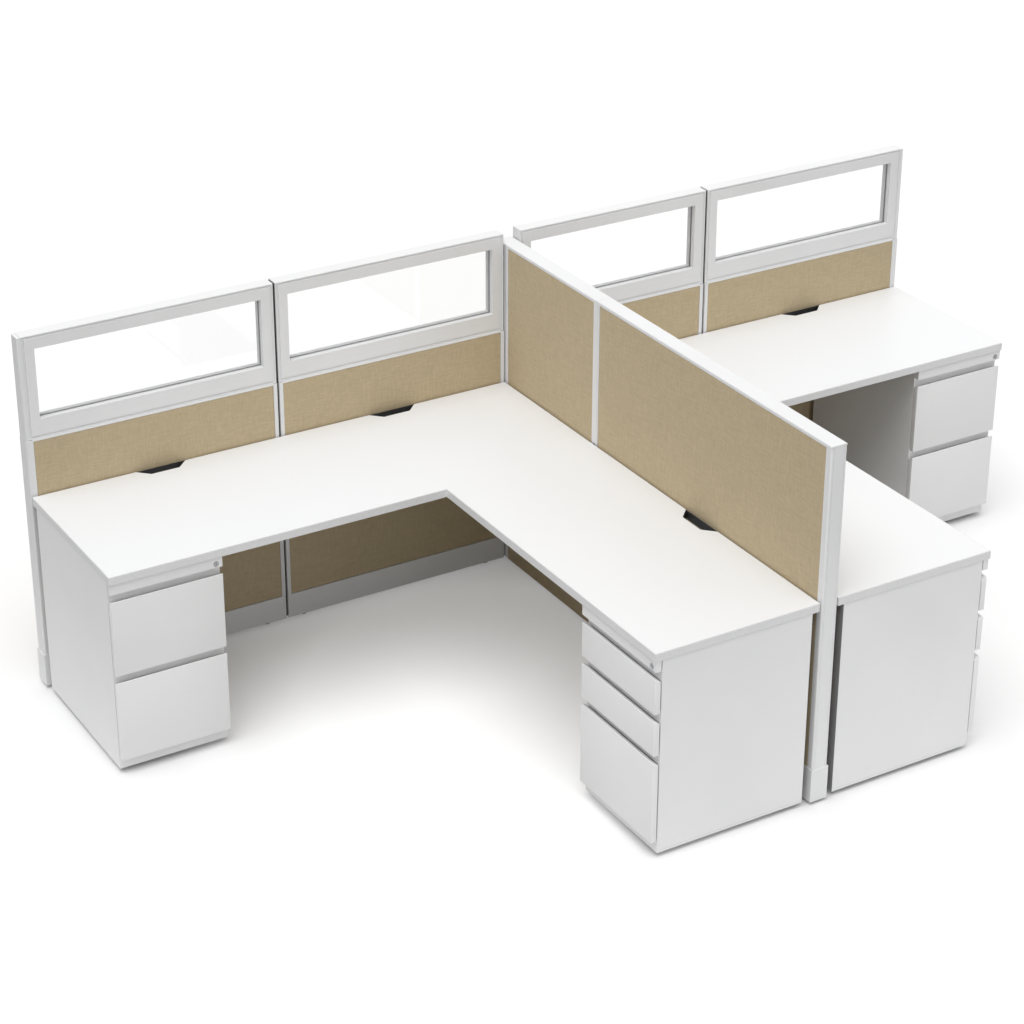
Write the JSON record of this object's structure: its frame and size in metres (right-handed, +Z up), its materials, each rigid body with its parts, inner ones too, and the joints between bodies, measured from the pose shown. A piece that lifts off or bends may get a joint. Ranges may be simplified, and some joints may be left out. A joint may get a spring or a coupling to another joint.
{
  "type": "cubicle workstation",
  "caption": "Back-to-back office workstation: L-shaped desks on either side of a fabric panel wing, along a panel spine with windows, with locking drawer pedestals under the worktops.",
  "frame": {"origin": "on the floor, in the middle of the footprint", "axes": "+X along the spine towards the right desk, +Y towards the spine's far face, so that the wing points to -Y, +Z up"},
  "size_m": [3.647, 1.993, 1.319],
  "materials": {
    "worktop_laminate": "white satin laminate over chipboard",
    "edge_band": "light grey edge banding",
    "panel_paint": "light grey powder coat, fine texture",
    "cover_paint": "grey powder coat, fine texture",
    "pedestal_paint": "near-white powder coat, satin",
    "tile_fabric": "tan woven panel fabric",
    "core_board": "grey sound-deadening fibre board",
    "clear_glass": "clear float glass",
    "gasket_rubber": "dark grey glazing rubber",
    "dark_plastic": "black moulded plastic",
    "bare_steel": "zinc-plated steel sheet",
    "lock_chrome": "polished chrome plating"
  },
  "bodies": {
    "station": {"worktop_left": "worktop_laminate", "worktop_right": "worktop_laminate", "edge_bands": "edge_band", "notch_liners": "dark_plastic", "worktop_brackets": "pedestal_paint", "worktop_screws": "bare_steel", "spine_frames_left": "panel_paint", "spine_frames_right": "panel_paint", "wing_frames": "panel_paint", "panel_cores": "core_board", "window_frames_left": "panel_paint", "window_frames_right": "panel_paint", "glass_panes": "clear_glass", "glazing_gaskets": "gasket_rubber", "spine_tiles": "tile_fabric", "wing_tiles": "tile_fabric", "wing_top_caps": "panel_paint", "base_covers": "cover_paint", "end_trims": "panel_paint", "base_shoes": "panel_paint", "junction_post": "panel_paint", "panel_connectors": "dark_plastic", "panel_glides": "dark_plastic", "case_left_file": "pedestal_paint", "case_left_box": "pedestal_paint", "case_right_file": "pedestal_paint", "case_right_box": "pedestal_paint", "front_rails": "pedestal_paint", "toe_bases": "pedestal_paint", "pedestal_glides": "dark_plastic", "drawer_runners": "bare_steel", "lock_barrels": "lock_chrome"},
    "drawer_left_file_upper": {"front_left_file_upper": "pedestal_paint", "drawer_left_file_upper": "bare_steel"},
    "drawer_left_file_lower": {"front_left_file_lower": "pedestal_paint", "drawer_left_file_lower": "bare_steel"},
    "plug_left_file": {"plug_left_file": "lock_chrome"},
    "bar_left_file": {"bar_left_file": "bare_steel"},
    "drawer_right_file_upper": {"front_right_file_upper": "pedestal_paint", "drawer_right_file_upper": "bare_steel"},
    "drawer_right_file_lower": {"front_right_file_lower": "pedestal_paint", "drawer_right_file_lower": "bare_steel"},
    "plug_right_file": {"plug_right_file": "lock_chrome"},
    "bar_right_file": {"bar_right_file": "bare_steel"},
    "drawer_left_box_top": {"front_left_box_top": "pedestal_paint", "drawer_left_box_top": "bare_steel"},
    "drawer_left_box_middle": {"front_left_box_middle": "pedestal_paint", "drawer_left_box_middle": "bare_steel"},
    "drawer_left_box_lower": {"front_left_box_lower": "pedestal_paint", "drawer_left_box_lower": "bare_steel"},
    "plug_left_box": {"plug_left_box": "lock_chrome"},
    "bar_left_box": {"bar_left_box": "bare_steel"},
    "drawer_right_box_top": {"front_right_box_top": "pedestal_paint", "drawer_right_box_top": "bare_steel"},
    "drawer_right_box_middle": {"front_right_box_middle": "pedestal_paint", "drawer_right_box_middle": "bare_steel"},
    "drawer_right_box_lower": {"front_right_box_lower": "pedestal_paint", "drawer_right_box_lower": "bare_steel"},
    "plug_right_box": {"plug_right_box": "lock_chrome"},
    "bar_right_box": {"bar_right_box": "bare_steel"}
  },
  "joints": [
    {"name": "slide_left_file_upper", "type": "slide", "parent": "station", "child": "drawer_left_file_upper", "axis": [0, -1, 0], "range_m": [0, 0.45]},
    {"name": "slide_left_file_lower", "type": "slide", "parent": "station", "child": "drawer_left_file_lower", "axis": [0, -1, 0], "range_m": [0, 0.45]},
    {"name": "turn_plug_left_file", "type": "hinge", "parent": "station", "child": "plug_left_file", "pos_m": [-1.4465, 0.2825, 0.69], "axis": [0, 1, 0], "range_deg": [0, 90]},
    {"name": "lift_bar_left_file", "type": "slide", "parent": "station", "child": "bar_left_file", "axis": [0, 0, 1], "range_m": [0, 0.00989]},
    {"name": "slide_right_file_upper", "type": "slide", "parent": "station", "child": "drawer_right_file_upper", "axis": [0, -1, 0], "range_m": [0, 0.45]},
    {"name": "slide_right_file_lower", "type": "slide", "parent": "station", "child": "drawer_right_file_lower", "axis": [0, -1, 0], "range_m": [0, 0.45]},
    {"name": "turn_plug_right_file", "type": "hinge", "parent": "station", "child": "plug_right_file", "pos_m": [1.7925, 0.2825, 0.69], "axis": [0, 1, 0], "range_deg": [0, 90]},
    {"name": "lift_bar_right_file", "type": "slide", "parent": "station", "child": "bar_right_file", "axis": [0, 0, 1], "range_m": [0, 0.00989]},
    {"name": "slide_left_box_top", "type": "slide", "parent": "station", "child": "drawer_left_box_top", "axis": [-1, 0, 0], "range_m": [0, 0.4]},
    {"name": "slide_left_box_middle", "type": "slide", "parent": "station", "child": "drawer_left_box_middle", "axis": [-1, 0, 0], "range_m": [0, 0.4]},
    {"name": "slide_left_box_lower", "type": "slide", "parent": "station", "child": "drawer_left_box_lower", "axis": [-1, 0, 0], "range_m": [0, 0.4]},
    {"name": "turn_plug_left_box", "type": "hinge", "parent": "station", "child": "plug_left_box", "pos_m": [-0.5915, -0.9655, 0.69], "axis": [1, 0, 0], "range_deg": [0, 90]},
    {"name": "lift_bar_left_box", "type": "slide", "parent": "station", "child": "bar_left_box", "axis": [0, 0, 1], "range_m": [0, 0.00989]},
    {"name": "slide_right_box_top", "type": "slide", "parent": "station", "child": "drawer_right_box_top", "axis": [1, 0, 0], "range_m": [0, 0.4]},
    {"name": "slide_right_box_middle", "type": "slide", "parent": "station", "child": "drawer_right_box_middle", "axis": [1, 0, 0], "range_m": [0, 0.4]},
    {"name": "slide_right_box_lower", "type": "slide", "parent": "station", "child": "drawer_right_box_lower", "axis": [1, 0, 0], "range_m": [0, 0.4]},
    {"name": "turn_plug_right_box", "type": "hinge", "parent": "station", "child": "plug_right_box", "pos_m": [0.6905, -0.5945, 0.69], "axis": [-1, 0, 0], "range_deg": [0, 90]},
    {"name": "lift_bar_right_box", "type": "slide", "parent": "station", "child": "bar_right_box", "axis": [0, 0, 1], "range_m": [0, 0.00989]}
  ],
  "couplings": [
    {"joint": "turn_plug_left_file", "follows": "lift_bar_left_file", "rad_per_m": 158.67},
    {"joint": "turn_plug_right_file", "follows": "lift_bar_right_file", "rad_per_m": 158.67},
    {"joint": "turn_plug_left_box", "follows": "lift_bar_left_box", "rad_per_m": 158.67},
    {"joint": "turn_plug_right_box", "follows": "lift_bar_right_box", "rad_per_m": 158.67}
  ]
}
